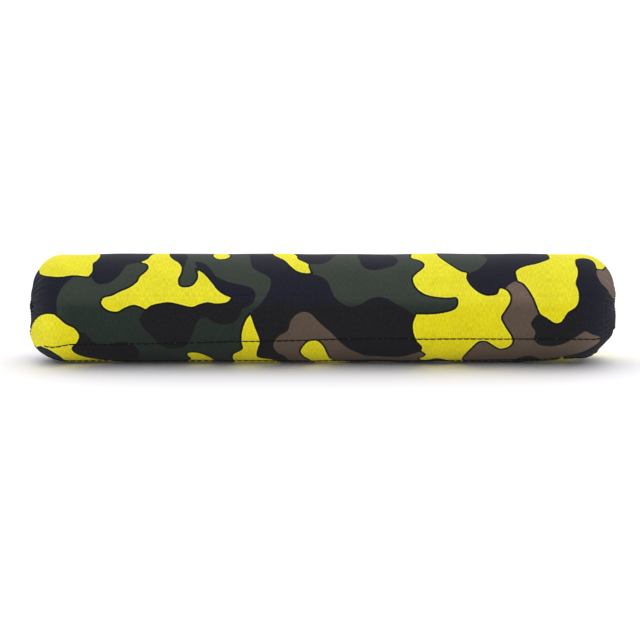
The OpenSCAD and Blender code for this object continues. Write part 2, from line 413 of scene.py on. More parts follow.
def print_fields(u, v):
    """The depth of each place inside the green, the brown and the yellow of the print."""
    fields = None
    front = (u, centred(v, FRONT_MIDDLE_V))
    back = (-u, REPEAT_V - centred(v, REPEAT_V - FRONT_MIDDLE_V))
    for place in (front, back):
        black = deepest(BLACK, *place)
        layers = np.stack([
            np.minimum(deepest(GREEN, *place), -black),
            np.minimum(deepest(BROWN, *place), -black),
            deepest(YELLOW, *place)])
        fields = layers if fields is None else np.maximum(fields, layers)
    return dict(zip(("green", "brown", "yellow"), fields))


def blended_fields(u, v, share):
    """The print, turned into another stretch of it where share is 1."""
    here, there = print_fields(u, v), print_fields(u + UNDER_FLAP_U, v + UNDER_FLAP_V)
    return {name: here[name] * (1 - share) + there[name] * share for name in here}


# ---- Meshes ----

def quads_over(rows, columns, first=0, ring_rows=False, ring_columns=False):
    """The faces over a grid of points, joined round where it is a ring."""
    index = first + np.arange(rows * columns).reshape(rows, columns)
    if ring_rows:
        index = np.vstack([index, index[:1]])
    if ring_columns:
        index = np.hstack([index, index[:, :1]])
    corners = [index[:-1, :-1], index[:-1, 1:], index[1:, 1:], index[1:, :-1]]
    return np.stack(corners, axis=-1).reshape(-1, 4)


def repeated(faces, size, count):
    """The faces of that many copies of a mesh that has size points."""
    return (faces[None] + size * np.arange(count)[:, None, None]).reshape(-1, 4)


def closed_tube(rows, columns):
    """The faces over the rings of a tube, with a cap on each end."""
    faces = [tuple(face) for face in quads_over(rows, columns, ring_columns=True)]
    first, last = range(columns), range((rows - 1) * columns, rows * columns)
    return faces + [tuple(first), tuple(last)[::-1]]


def two_layers(outer, inner):
    """The points and the faces of two grids, one over the other."""
    rows, columns = outer.shape[:2]
    faces = np.concatenate([
        quads_over(rows, columns)[:, ::-1], quads_over(rows, columns, first=rows * columns)])
    return np.concatenate([outer.reshape(-1, 3), inner.reshape(-1, 3)]), faces


def rounded(rim, reach, thickness):
    """Half the thickness of a cloth at a distance from its rim, which is rounded over that reach."""
    return np.sqrt(1 - (1 - np.clip(rim / reach, 0, 1)) ** 2) * thickness / 2


def piece_from(name, points, faces, materials, face_materials=None, values=None):
    """An object with that mesh, from points in millimetres, with a value per point for each name."""
    mesh = bpy.data.meshes.new(name)
    mesh.from_pydata((np.asarray(points).reshape(-1, 3) * MM).tolist(), [], [tuple(face) for face in faces])
    for material in materials:
        mesh.materials.append(material)
    if face_materials is not None:
        mesh.polygons.foreach_set("material_index", np.asarray(face_materials, np.int32))
    mesh.polygons.foreach_set("use_smooth", np.ones(len(mesh.polygons), bool))
    for key, value in (values or {}).items():
        attribute = mesh.attributes.new(key, "FLOAT", "POINT")
        filled = np.broadcast_to(np.asarray(value, np.float32).ravel(), len(mesh.vertices))
        attribute.data.foreach_set("value", np.ascontiguousarray(filled))
    mesh.update()
    piece = bpy.data.objects.new(name, mesh)
    bpy.context.scene.collection.objects.link(piece)
    return piece


def bend_round(piece, girth, spread):
    """Bakes the piece's transform into its mesh and puts its points back as they were; for that moment each
    point lies at its own girth, since the two lips of the slit are in one place. spread, in degrees on each
    side of the hinge line, is not used."""
    mesh = piece.data
    rolled = np.zeros(len(mesh.vertices) * 3, np.float32)
    mesh.vertices.foreach_get("co", rolled)
    unrolled = np.zeros_like(rolled)
    unrolled[2::3] = np.asarray(girth).ravel()
    mesh.vertices.foreach_set("co", unrolled)
    back, spread = HINGE % (2 * math.pi), math.radians(spread)
    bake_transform(piece)
    mesh.vertices.foreach_set("co", rolled)
    mesh.update()


def weld(piece):
    """Joins the points of a piece that are in one place."""
    work = bmesh.new()
    work.from_mesh(piece.data)
    bmesh.ops.remove_doubles(work, verts=work.verts, dist=0.00001)
    work.to_mesh(piece.data)
    work.free()


def tube(path, radius, sides, twist=0.0, guide=(0.0, 0.37, 1.0)):
    """The rings of points of a tube along a path, or along each of several paths, with a radius for each of
    its points. guide is a direction that no path runs along."""
    ahead = np.gradient(path, axis=-2)
    ahead /= np.linalg.norm(ahead, axis=-1, keepdims=True)
    across = np.cross(ahead, np.array(guide))
    across /= np.linalg.norm(across, axis=-1, keepdims=True)
    up = np.cross(across, ahead)
    turn = 2 * math.pi * np.arange(sides) / sides + twist * np.arange(path.shape[-2])[:, None]
    ring = across[..., None, :] * np.cos(turn)[..., None] + up[..., None, :] * np.sin(turn)[..., None]
    return path[..., None, :] + ring * np.asarray(radius)[..., None, None]


# ---- Materials ----

class Graph:
    """The nodes of a material, or of another block of data that has nodes."""

    def __init__(self, name, kind="materials"):
        self.owner = getattr(bpy.data, kind).new(name)
        self.owner.use_nodes = True
        self.tree = self.owner.node_tree

    def add(self, kind, inputs, **settings):
        """A node of that kind, with its sockets set to values or linked to other sockets."""
        new = self.tree.nodes.new(kind)
        for key, value in settings.items():
            setattr(new, key, value)
        for key, value in inputs.items():
            if isinstance(value, bpy.types.NodeSocket):
                self.tree.links.new(value, new.inputs[key])
            else:
                new.inputs[key].default_value = value
        return new

    def field(self, name):
        """A value that is stored with the mesh's points."""
        return self.add("ShaderNodeAttribute", {}, attribute_name=name).outputs["Fac"]

    def math(self, operation, *values):
        """The result of that operation on values or sockets."""
        inputs = dict(enumerate(values))
        return self.add("ShaderNodeMath", inputs, operation=operation).outputs[0]

    def step(self, value, low, high, to_low=0.0, to_high=1.0):
        """Runs smoothly from to_low at low to to_high at high."""
        inputs = {"Value": value, "From Min": low, "From Max": high, "To Min": to_low, "To Max": to_high}
        return self.add("ShaderNodeMapRange", inputs, interpolation_type="SMOOTHSTEP").outputs["Result"]

    def mix(self, share, low, high, blend="MIX"):
        """The colour low where share is 0 and high where it is 1."""
        inputs = {0: share, 6: low, 7: high}
        return self.add("ShaderNodeMix", inputs, data_type="RGBA", blend_type=blend).outputs[2]

    def cloth_place(self, u_scale=1.0, v_scale=1.0):
        """A texture coordinate in millimetres of cloth."""
        along = self.math("MULTIPLY", self.field("u"), u_scale)
        around = self.math("MULTIPLY", self.field("v"), v_scale)
        return self.add("ShaderNodeCombineXYZ", {"X": along, "Y": around}).outputs[0]

    def noise(self, place, scale, detail=2.0, roughness=0.5):
        inputs = {"Vector": place, "Scale": scale, "Detail": detail, "Roughness": roughness}
        return self.add("ShaderNodeTexNoise", inputs).outputs["Fac"]

    def waves(self, value, pitch):
        """A wave from 0 to 1 that repeats at every pitch of value."""
        wave = self.math("SINE", self.math("MULTIPLY", value, 2 * math.pi / pitch))
        return self.math("MULTIPLY_ADD", wave, 0.5, 0.5)

    def finish(self, colour, roughness, height, depth, sheen=0.0, specular=0.3):
        """Links the colour, the roughness and the bump to the shader, and returns the material. depth is the
        bump's, in millimetres."""
        shader = self.tree.nodes["Principled BSDF"]
        self.tree.links.new(colour, shader.inputs["Base Color"])
        self.tree.links.new(roughness, shader.inputs["Roughness"])
        bump = self.add("ShaderNodeBump", {"Height": height, "Distance": depth * MM, "Strength": 1.0})
        self.tree.links.new(bump.outputs["Normal"], shader.inputs["Normal"])
        shader.inputs["Specular IOR Level"].default_value = specular
        shader.inputs["Sheen Weight"].default_value = sheen
        shader.inputs["Sheen Roughness"].default_value = 0.45
        return self.owner


def knit(graph):
    """The height of a fine knit: wales round the pad, crossed by courses, with uneven yarn."""
    wobble = graph.noise(graph.cloth_place(), 0.35, 3)
    u = graph.math("MULTIPLY_ADD", wobble, 0.5, graph.field("u"))
    v = graph.math("MULTIPLY_ADD", wobble, 0.5, graph.field("v"))
    wales = graph.waves(u, 0.85)
    courses = graph.waves(graph.math("MULTIPLY_ADD", wales, 0.3, v), 0.7)
    yarn = graph.noise(graph.cloth_place(1.0, 0.6), 1.6, 2)
    woven = graph.math("MULTIPLY_ADD", courses, 0.5, wales)
    return graph.math("ADD", woven, yarn)


# How far the cloth is from each line of stitching, where there is none near enough to show
NO_SEAMS = {"from_top_seam": 50.0, "from_bottom_seam": 50.0}
LIT_AND_SHADED_INKS = {  # lit copy on the cover; darker copy on the flap, painted shade for its lower front
    "black": ((0.0130, 0.0135, 0.0245, 1), (0.0112, 0.0112, 0.0138, 1)),
    "green": ((0.042, 0.054, 0.043, 1), (0.0195, 0.0295, 0.023, 1)),
    "brown": ((0.165, 0.117, 0.094, 1), (0.107, 0.077, 0.058, 1)),
    "yellow": ((0.85, 0.78, 0.028, 1), (0.765, 0.678, 0.0095, 1)),
    "halo": ((0.90, 0.86, 0.080, 1), (0.84, 0.78, 0.040, 1)),
    "rim": ((0.009, 0.008, 0.004, 1), (0.007, 0.006, 0.003, 1)),
}


def printed_cloth():
    """The knitted cloth with its camouflage print: green, brown and yellow over black, with a dark rim and a
    paler edge to the yellow. Each ink has a lit copy on the cover and a darker copy on the flap, which is
    painted shade for the flap's lower front. The needle holes along its two lines of stitching let the pale
    back of the cloth show."""
    graph = Graph("printed_knit")
    place = graph.cloth_place()
    ragged = graph.math("MULTIPLY_ADD", graph.noise(place, 0.9, 2), 0.7, -0.35)
    # Painted shade: where this value is 1, each ink takes its darker copy, standing in for the light that the
    # lower front misses.
    flap_painted_shade = graph.field("flap_painted_shade")
    lit_or_shaded_inks = {name: graph.mix(flap_painted_shade, *pair) for name, pair in LIT_AND_SHADED_INKS.items()}

    def edge(field, low, high):
        return graph.step(graph.math("ADD", graph.field(field), ragged), low, high)

    colour = graph.mix(edge("green", -0.35, 0.35), lit_or_shaded_inks["black"], lit_or_shaded_inks["green"])
    colour = graph.mix(edge("brown", -0.35, 0.35), colour, lit_or_shaded_inks["brown"])
    colour = graph.mix(edge("yellow", -1.85, -1.3), colour, lit_or_shaded_inks["rim"])
    yellow = graph.mix(edge("yellow", 0.2, 1.4), lit_or_shaded_inks["halo"], lit_or_shaded_inks["yellow"])
    colour = graph.mix(edge("yellow", -0.25, 0.2), colour, yellow)

    height = knit(graph)
    shade = graph.step(height, 0.3, 2.2, 0.82, 1.12)
    ribs = graph.cloth_place(1.0, 0.16)
    for where, scale, detail, depth in (
            (place, 0.045, 3, 0.04), (ribs, 1.6, 1, 0.1), (place, 1.6, 2, 0.035)):
        patch = graph.noise(where, scale, detail)
        shade = graph.math("MULTIPLY", shade, graph.step(patch, 0.3, 0.7, 1 - depth, 1 + depth))
    tone = graph.add("ShaderNodeCombineColor", {"Red": shade, "Green": shade, "Blue": shade}).outputs[0]
    colour = graph.mix(1.0, colour, tone, "MULTIPLY")
    fluff = graph.step(graph.noise(graph.cloth_place(1.0, 0.7), 0.8, 3), 0.45, 0.75, 0, 0.014)
    colour = graph.mix(fluff, colour, (0.5, 0.5, 0.5, 1))
    for seam in NO_SEAMS:
        off = graph.math("ABSOLUTE", graph.field(seam))
        near_line = graph.step(off, 0.3, 0.7, 1, 0)
        turn = graph.math("MULTIPLY", graph.field("u"), 2 * math.pi / STITCH)
        near_hole = graph.step(graph.math("COSINE", turn), 0.9, 0.98)
        hole = graph.math("MULTIPLY", near_line, near_hole)
        patchy = graph.step(graph.noise(place, 0.12, 1), 0.42, 0.66, 0, 0.5)
        colour = graph.mix(graph.math("MULTIPLY", hole, patchy), colour, (0.30, 0.31, 0.28, 1))
    rough = graph.step(height, 0.3, 2.2, 0.95, 0.82)
    return graph.finish(colour, rough, height, 0.09, sheen=0.06, specular=0.12)


def lining_cloth():
    """Black tricot with a fine diagonal rib."""
    graph = Graph("black_tricot")
    place = graph.cloth_place()
    diagonal = graph.math("ADD", graph.field("u"), graph.math("MULTIPLY", graph.field("v"), 0.6))
    rib = graph.waves(diagonal, 1.1)
    yarn = graph.noise(place, 1.4, 3)
    height = graph.math("MULTIPLY_ADD", yarn, 1.2, rib)
    shade = graph.step(height, 0.2, 1.9)
    colour = graph.mix(shade, (0.008, 0.008, 0.010, 1), (0.028, 0.028, 0.033, 1))
    patch = graph.noise(place, 0.04, 3)
    colour = graph.mix(graph.step(patch, 0.35, 0.7, 0, 0.35), colour, (0.035, 0.035, 0.04, 1))
    rough = graph.step(yarn, 0.3, 0.7, 0.75, 0.95)
    return graph.finish(colour, rough, height, 0.12, sheen=0.2, specular=0.2)


def foam_rubber():
    """Closed-cell foam rubber with fine cells and a few large ones."""
    graph = Graph("closed_cell_foam")
    place = graph.add("ShaderNodeTexCoord", {}).outputs["Object"]
    cells = graph.add("ShaderNodeTexVoronoi", {"Vector": place, "Scale": 900.0}).outputs["Distance"]
    large = graph.noise(place, 120.0, 3)
    height = graph.math("ADD", cells, large)
    colour = graph.mix(graph.step(cells, 0.05, 0.5), (0.02, 0.02, 0.022, 1), (0.05, 0.05, 0.052, 1))
    rough = graph.step(large, 0.3, 0.7, 0.8, 0.95)
    return graph.finish(colour, rough, height, 0.3, specular=0.25)


def braid():
    """White braided elastic, with crossing strands."""
    graph = Graph("braided_elastic")
    u, v = graph.field("u"), graph.field("v")
    one = graph.waves(graph.math("ADD", u, v), 1.3)
    other = graph.waves(graph.math("SUBTRACT", u, v), 1.3)
    height = graph.math("MAXIMUM", one, other)
    colour = graph.mix(graph.step(height, 0.3, 1.0), (0.3, 0.3, 0.28, 1), (0.72, 0.72, 0.68, 1))
    rough = graph.step(graph.noise(graph.cloth_place(), 2.0), 0.3, 0.7, 0.7, 0.9)
    return graph.finish(colour, rough, height, 0.15, sheen=0.1)


def nylon(name, dark, light, gloss):
    """Black nylon yarn or bristle, with a broken sheen."""
    graph = Graph(name)
    place = graph.add("ShaderNodeTexCoord", {}).outputs["Object"]
    grain = graph.noise(place, 1400.0, 3)
    colour = graph.mix(graph.step(grain, 0.3, 0.7), dark, light)
    rough = graph.step(grain, 0.3, 0.7, gloss, gloss + 0.2)
    return graph.finish(colour, rough, grain, 0.05, sheen=0.1, specular=0.4)


def thread_yarn():
    """Dark twisted polyester thread."""
    graph = Graph("dark_thread")
    twist = graph.waves(graph.math("ADD", graph.field("u"), graph.field("v")), 0.55)
    colour = graph.mix(twist, (0.003, 0.003, 0.002, 1), (0.016, 0.014, 0.009, 1))
    rough = graph.step(twist, 0, 1, 0.5, 0.75)
    return graph.finish(colour, rough, twist, 0.06, specular=0.12)


print_material = printed_cloth()
tricot = lining_cloth()
foam_material = foam_rubber()
elastic_material = braid()
hook_nylon = nylon("hook_nylon", (0.006, 0.006, 0.007, 1), (0.03, 0.03, 0.033, 1), 0.3)
loop_nylon = nylon("loop_nylon", (0.008, 0.008, 0.009, 1), (0.035, 0.035, 0.038, 1), 0.65)
thread = thread_yarn()


# ---- Cover, lining and foam ----

COVER_LEAN = 1.545  # the cover ends under the hem, almost on the end face
U_END = BARREL_HALF + SHOULDER_R * COVER_LEAN
WALL_IN, WALL_OUT = 2.2, 0.4  # from the flap's ends to the foot and the top of the wall of its recess
LIP_R = 1.2  # of the cloth where it turns into the slit
LIP_TURN = (LIP_R + SLIT_GAP) / PAD_R  # the angle that the rounded lip takes up


def stations(half, count):
    """Distances along the pad, closer together over the shoulders."""
    even = np.linspace(-1, 1, count)
    return half * (even + 0.06 * np.sin(math.pi * even))


def flap_half(v):
    """Half the flap's length at v: its two lower corners are rounded."""
    near_edge = np.clip(FLAP_CORNER_R - (v - FLAP_EDGE_V), 0, FLAP_CORNER_R)
    return U_FLAP - FLAP_CORNER_R + np.sqrt(FLAP_CORNER_R**2 - near_edge**2)


def sunk(u, v):
    """How far the cover is let in under the flap, for v below the slit on the lower half."""
    under = 1 - smooth(np.abs(u) - flap_half(v), -WALL_IN, -WALL_OUT)
    ledge = smooth(v, FLAP_EDGE_V - 1.2, FLAP_EDGE_V + 0.8)
    landing = ledge * (1 - smooth(v, TAPE_TOP_V + 3, TAPE_TOP_V + 6))
    return under * (LEDGE_LEVEL * ledge + (LANDING_LEVEL - LEDGE_LEVEL) * landing)


def hem_tuck(side, turns):
    """How far the hem is drawn in from its crests, unevenly round the mouth."""
    if side > 0:
        return 0.35 + 0.35 * np.sin(2 * turns + 1.0) + 0.25 * np.sin(5 * turns)
    height = HEM_CENTRE_R * np.sin(turns)
    crests = hump(height, 4, 3.5) + hump(height, -15, 5)
    return 1.7 * (1 - 0.8 * np.clip(crests, 0, 1)) + 0.2 * np.sin(5 * turns)


def make_cover(hems):
    """The printed sleeve in one piece, from one lip of the slit round the back to the other."""
    turns = np.linspace(SLIT + LIP_TURN, SLIT_AGAIN - LIP_TURN, 272)
    walls = U_FLAP - np.array([WALL_IN, WALL_OUT])
    u = np.sort(np.concatenate([stations(U_END, 300), walls, -walls]))[None, :]
    v = (turns * PAD_R)[:, None]
    below_slit = v - GIRTH  # the same place, counted from the front for the lower half
    lower = smooth(v, GIRTH * 0.6, GIRTH * 0.62)
    hidden = (1 - smooth(np.abs(u), U_FLAP - 3, U_FLAP)) * lower * smooth(below_slit, FLAP_EDGE_V, -40)
    uneven = cloth_height(u, v) * (1 - 0.7 * hidden) + slump(u, v)
    level = lower * sunk(u, below_slit) + uneven

    def lip(side):
        """The cloth that turns over one lip and goes a little way into the slit."""
        edge = level[:1] if side > 0 else level[-1:]
        at = SLIT_V if side > 0 else SLIT_V + GIRTH
        round_r = radius_at(u) * LIP_TURN - SLIT_GAP
        quarter = np.linspace(0, 1, 5)[:-1, None] * math.pi / 2
        clear = round_r - round_r * np.cos(quarter) + SLIT_GAP
        corner = on_pad(u, at, edge - round_r * (1 - np.sin(quarter)), side * clear)
        depths = np.array([4.0, 2.4, 1.0])[:, None] * radius_at(u) / PAD_R
        face = on_pad(u, at, edge - round_r - depths, side * SLIT_GAP)
        return np.concatenate([face, corner])

    def tucked(edge, side):
        """The same edge of the cloth, drawn in under the hem."""
        turn = np.arctan2(edge[:, 2], -edge[:, 1])
        shrink = np.minimum(1, (HEM_CENTRE_R + 1.6) / np.hypot(edge[:, 1], edge[:, 2]))
        x = side * (PAD_HALF - HEM_R - hem_tuck(side, turn))
        return np.stack([x, edge[:, 1] * shrink, edge[:, 2] * shrink], axis=-1)[:, None]

    upper_lip, lower_lip = lip(1), lip(-1)[::-1]
    points = np.concatenate([upper_lip, on_pad(u, v, level), lower_lip])
    points = np.concatenate([tucked(points[:, 0], -1), points, tucked(points[:, -1], 1)], axis=1)
    u = np.pad(u, ((0, 0), (1, 1)), constant_values=(-U_END - 2, U_END + 2))
    girth_v = np.concatenate([
        np.full(len(upper_lip), SLIT_V), v[:, 0], np.full(len(lower_lip), SLIT_V + GIRTH)])
    u_grid, v_grid = np.broadcast_arrays(u, girth_v[:, None])
    under = 1 - smooth(np.abs(u_grid), U_FLAP - 24, U_FLAP + 2)
    under = under * smooth(v_grid - GIRTH, FLAP_EDGE_V - 14, FLAP_EDGE_V + 2)
    values = {"u": u_grid, "v": v_grid} | NO_SEAMS | blended_fields(u_grid, v_grid, under)
    faces = quads_over(*points.shape[:2])
    cover = piece_from("printed_cover", points, faces, [print_material], values=values)
    bend_round(cover, v_grid / PAD_R, 30)
    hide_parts("cover_upper", "cover_lower")


def make_lining():
    """The tricot on both faces of the slit and round the bore, in one piece."""
    fillet = 3.0  # where it turns from a face into the bore
    fillet_turn = fillet / BORE_R
    clear = SLIT_GAP + 0.12
    face_r = np.linspace(PAD_R - 1.6, BORE_R + fillet, 22)
    turns = np.linspace(SLIT + fillet_turn, SLIT_AGAIN - fillet_turn, 80)
    quarter = np.linspace(0, 1, 6)[1:-1]
    radius = np.concatenate([
        face_r, BORE_R + fillet * (1 - quarter) ** 2, np.full(len(turns), BORE_R + 0.1),
        BORE_R + fillet * quarter**2, face_r[::-1]])
    angle = np.concatenate([
        np.full(len(face_r), SLIT), SLIT + quarter**2 * fillet_turn, turns,
        SLIT_AGAIN - (1 - quarter) ** 2 * fillet_turn, np.full(len(face_r), SLIT_AGAIN)])
    walk = np.concatenate([[0], np.cumsum(np.hypot(np.diff(radius), radius[1:] * np.diff(angle)))])
    side = np.where(np.arange(len(radius)) < len(radius) / 2, 1.0, -1.0)
    radius, angle, side = radius[:, None], angle[:, None], side[:, None]

    on_face = smooth(radius, BORE_R + 0.5, BORE_R + fillet)
    over_shoulder = np.sqrt(np.clip(SHOULDER_R**2 - (radius - PAD_R + SHOULDER_R) ** 2, 0, None))
    reach = np.where(radius > PAD_R - SHOULDER_R, BARREL_HALF + over_shoulder, END_HALF)
    share = stations(1.0, 240)[None, :]
    along, across = np.broadcast_arrays(share * (reach - 1.6), radius)
    puff = 0.35 * (1 + ripples(along, across, 16, 11) * 0.8).clip(0) * smooth(PAD_R - 4 - across, 0, 5)
    off = side * (clear + puff * on_face) * on_face
    depth = radius + 0.12 * ripples(along, angle * BORE_R, 14, 12) * (1 - on_face)
    y = -depth * np.cos(angle) + off * math.sin(SLIT)
    z = depth * np.sin(angle) + off * math.cos(SLIT)
    points = np.stack(np.broadcast_arrays(along, y, z), axis=-1)
    values = {"u": along, "v": np.broadcast_to(walk[:, None], along.shape)}
    faces = quads_over(*along.shape)
    lining = piece_from("bore_and_slit_lining", points, faces, [tricot], values=values)
    bend_round(lining, np.broadcast_to(angle, along.shape), 42)
    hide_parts("lining_upper", "lining_lower")


def make_foam():
    """The foam tube, in one piece, split along one side, with rounded ends."""
    inset = CLOTH + 0.6
    bore_r = BORE_R + 1.4
    clear = 1.5  # from the slit's plane, behind the lining
    turn = clear / PAD_R
    outer = np.linspace(SLIT + turn, SLIT_AGAIN - turn, 120)
    inner = np.linspace(SLIT_AGAIN - clear / bore_r, SLIT + clear / bore_r, 60)
    face = np.linspace(0, 1, 14)[1:-1]
    share = np.concatenate([np.ones(len(outer)), 1 - face, np.zeros(len(inner)), face])
    angle = np.concatenate([
        outer, outer[-1] + (inner[0] - outer[-1]) * face, inner, inner[-1] + (outer[0] - inner[-1]) * face])
    half = U_END - 1.0
    u = np.concatenate([[-half], stations(half, 150), [half]])[None, :]
    angle, share = angle[:, None], share[:, None]
    v, lean = angle * PAD_R, lean_at(u)
    level = np.minimum(slump(u, v), 0) - inset - 0.9 * smooth(lean, 0.35, 1.5)
    sink = sunk(u, v - GIRTH) * (v > GIRTH / 2)
    outer_r = radius_at(u) + level * np.cos(lean) + sink + 0.15 * ripples(u, v, 5, 21)
    outer_r[:, [0, -1]] = bore_r + 0.4
    x = length_at(u) + np.sign(u) * level * np.sin(lean)
    radius = bore_r + (outer_r - bore_r) * share
    z = np.maximum(radius * np.sin(angle), FLOOR_Z + inset)
    points = np.stack([x, -radius * np.cos(angle), z], axis=-1)
    faces = quads_over(*radius.shape, ring_rows=True)
    foam = piece_from("pad_foam", points, faces, [foam_material])
    bend_round(foam, np.broadcast_to(angle, radius.shape), 36)
    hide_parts("foam_core_upper", "foam_core_lower")


def make_hem(side, name):
    """The gathered roll of cloth round one mouth of the bore. side is -1 on the left and 1 on the right."""
    clear = 0.15 / HEM_CENTRE_R
    turns = np.linspace(SLIT + clear, SLIT_AGAIN - clear, 420)[:, None]
    sides = 26
    section = 2 * math.pi * np.arange(sides)[None, :] / sides
    uneven = 0.1 * ripples(turns * HEM_CENTRE_R, section * 3, 9, 31)
    radius = HEM_R * (0.84 + 0.2 * gathers(turns) * (0.6 + 0.4 * np.cos(section)) + 0.5 * uneven)
    ends = smooth(turns, turns[0], turns[0] + 0.05) * (1 - smooth(turns, turns[-1] - 0.05, turns[-1]))
    radius = radius * (0.93 + 0.07 * ends)
    out = HEM_CENTRE_R - 0.3 + radius * np.sin(section)
    x = side * (PAD_HALF - HEM_R - hem_tuck(side, turns) + radius * np.cos(section))
    points = np.stack(np.broadcast_arrays(x, -out * np.cos(turns), out * np.sin(turns)), axis=-1)
    u, v = np.broadcast_arrays(side * (U_END + 3 - HEM_R * section), turns * PAD_R)
    values = {"u": u, "v": v} | NO_SEAMS | print_fields(np.clip(u, -U_END, U_END), v)
    hem = piece_from(name, points, closed_tube(*u.shape), [print_material], values=values)
    bend_round(hem, v / PAD_R, 36)
    return hem


def make_elastic(side, name):
    """The braided cord inside one hem."""
    clear = 0.5 / HEM_CENTRE_R
    turns = np.linspace(SLIT + clear, SLIT_AGAIN - clear, 240)
    x = side * (PAD_HALF - HEM_R - hem_tuck(side, turns))
    path = np.stack([x, -HEM_CENTRE_R * np.cos(turns), HEM_CENTRE_R * np.sin(turns)], axis=-1)
    points = tube(path, 1.12 + 0.06 * np.cos(turns * 90), 14)
    rows, columns = points.shape[:2]
    u, v = np.broadcast_arrays(turns[:, None] * HEM_CENTRE_R, np.arange(columns)[None, :] * 0.5)
    values = {"u": u, "v": v}
    elastic = piece_from(name, points, closed_tube(rows, columns), [elastic_material], values=values)
    bend_round(elastic, np.broadcast_to(turns[:, None], u.shape), 36)
    return elastic


def make_ends():
    """The hems and the elastics of both ends. The hems are returned."""
    hems = []
    for side, place in ((-1, "left"), (1, "right")):
        hem = make_hem(side, place + "_gathered_hem")
        hems.append(hem)
        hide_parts(place + "_hem_upper", place + "_hem_lower")
        elastic = make_elastic(side, place + "_hem_elastic_cord")
        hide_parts(place + "_elastic_upper", place + "_elastic_lower")
    return hems


# ---- Flap, tapes and stitching ----

FLAP_TOP_V = SLIT_V + 3.0  # the flap's cloth runs on a little way under the cover's face


def flap_level(u, v):
    """The height of the flap's outer face: it grows out of the cover at the root."""
    rise = smooth(-v, -SLIT_V - 2.2, -SLIT_V + 2.5) * (1 - 0.3 * smooth(np.abs(u), U_FLAP - 9, U_FLAP))
    return -0.3 + (FLAP_LEVEL + 0.3) * rise + cloth_height(u, v) + slump(u, v) - seam_pull(u, v) * rise


def make_flap():
    """The closure flap: a double layer of the printed cloth with a rounded edge, dark inside."""
    v = np.linspace(FLAP_TOP_V, FLAP_EDGE_V, 82)[:, None]
    half = flap_half(v)
    share = np.linspace(-1, 1, 2 * int(4 * U_FLAP / STITCH) + 1)[None, :]  # four columns to a stitch
    u = share * half
    rim = np.minimum(np.minimum(half - np.abs(u), v - FLAP_EDGE_V), FLAP_TOP_V - v)
    bulge = rounded(rim, 1.0, FLAP_THICK)
    middle = flap_level(u, v) - FLAP_THICK / 2
    v_grid = np.broadcast_to(v, u.shape)
    points, faces = two_layers(on_pad(u, v_grid, middle + bulge), on_pad(u, v_grid, middle - bulge))
    values = {
        "u": u, "v": v_grid,
        # Painted shade: the flap's share of the darker ink copies, from just below the root, fading out
        # towards its ends.
        "flap_painted_shade": smooth(-v_grid, -ROOT_V, -ROOT_V + 12) * (1 - smooth(np.abs(u), 190, 214)),
        "from_top_seam": v_grid - seam_v(u, SEAM_TOP_V),
        "from_bottom_seam": v_grid - seam_v(u, SEAM_BOTTOM_V)} | print_fields(u, v_grid)
    values = {name: np.concatenate([value.ravel(), value.ravel()]) for name, value in values.items()}
    materials = np.repeat([0, 1], len(faces) // 2)
    flap = piece_from("front_flap", points, faces, [print_material, tricot], materials, values)
    weld(flap)
    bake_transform(flap)
    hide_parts("closure_flap")


def tape_base(low, high):
    """The woven base of a tape between two levels: its points and faces."""
    v = np.linspace(TAPE_TOP_V, TAPE_BOTTOM_V, 20)[:, None]
    u = np.linspace(-U_TAPE, U_TAPE, 220)[None, :]
    u, v = np.broadcast_arrays(u, v)
    rim = np.minimum(np.minimum(U_TAPE - np.abs(u), v - TAPE_BOTTOM_V), TAPE_TOP_V - v)
    bulge = rounded(rim, 0.6, high - low)
    middle = (low + high) / 2 + slump(u, v)
    return two_layers(on_pad(u, v, middle + bulge), on_pad(u, v, middle - bulge))


def make_pile(name, profile, material, seed, pitch):
    """The hooks or the loops of a tape: small bent tubes, each turned its own way."""
    random = np.random.default_rng(seed)
    rows = np.arange(TAPE_BOTTOM_V + 2.4, TAPE_TOP_V - 2.0, pitch)
    columns = np.arange(-U_TAPE + 1.5, U_TAPE - 1.5, pitch)
    v, u = (grid.ravel() for grid in np.meshgrid(rows, columns, indexing="ij"))
    u = u + random.uniform(-0.2, 0.2, u.shape) * pitch
    v = v + random.uniform(-0.2, 0.2, v.shape) * pitch
    turn = random.uniform(0, 2 * math.pi, u.shape)
    size = random.uniform(0.8, 1.15, u.shape)
    forward, height = (profile["steps"][None, :, i] * size[:, None] for i in (0, 1))
    path = on_pad(
        u[:, None] + forward * np.cos(turn)[:, None], v[:, None] + forward * np.sin(turn)[:, None],
        profile["root"] + height + slump(u, v)[:, None])
    points = tube(path, profile["radii"], 3, guide=(0.3, 0.5, 0.81))
    count, steps, sides = points.shape[:3]
    faces = repeated(quads_over(steps, sides, ring_columns=True), steps * sides, count)
    return piece_from(name, points, faces, [material])


def make_tape(place, levels, profile, material, seed, pitch, body):
    """A hook or loop tape: its woven base and its pile."""
    strip = piece_from(place + "_strip", *tape_base(*levels), [material])
    weld(strip)
    pile = make_pile(place + "_pile", profile, material, seed, pitch)
    for piece in (strip, pile):
        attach(piece, body)
        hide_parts(place + "_tape")
    return strip, pile


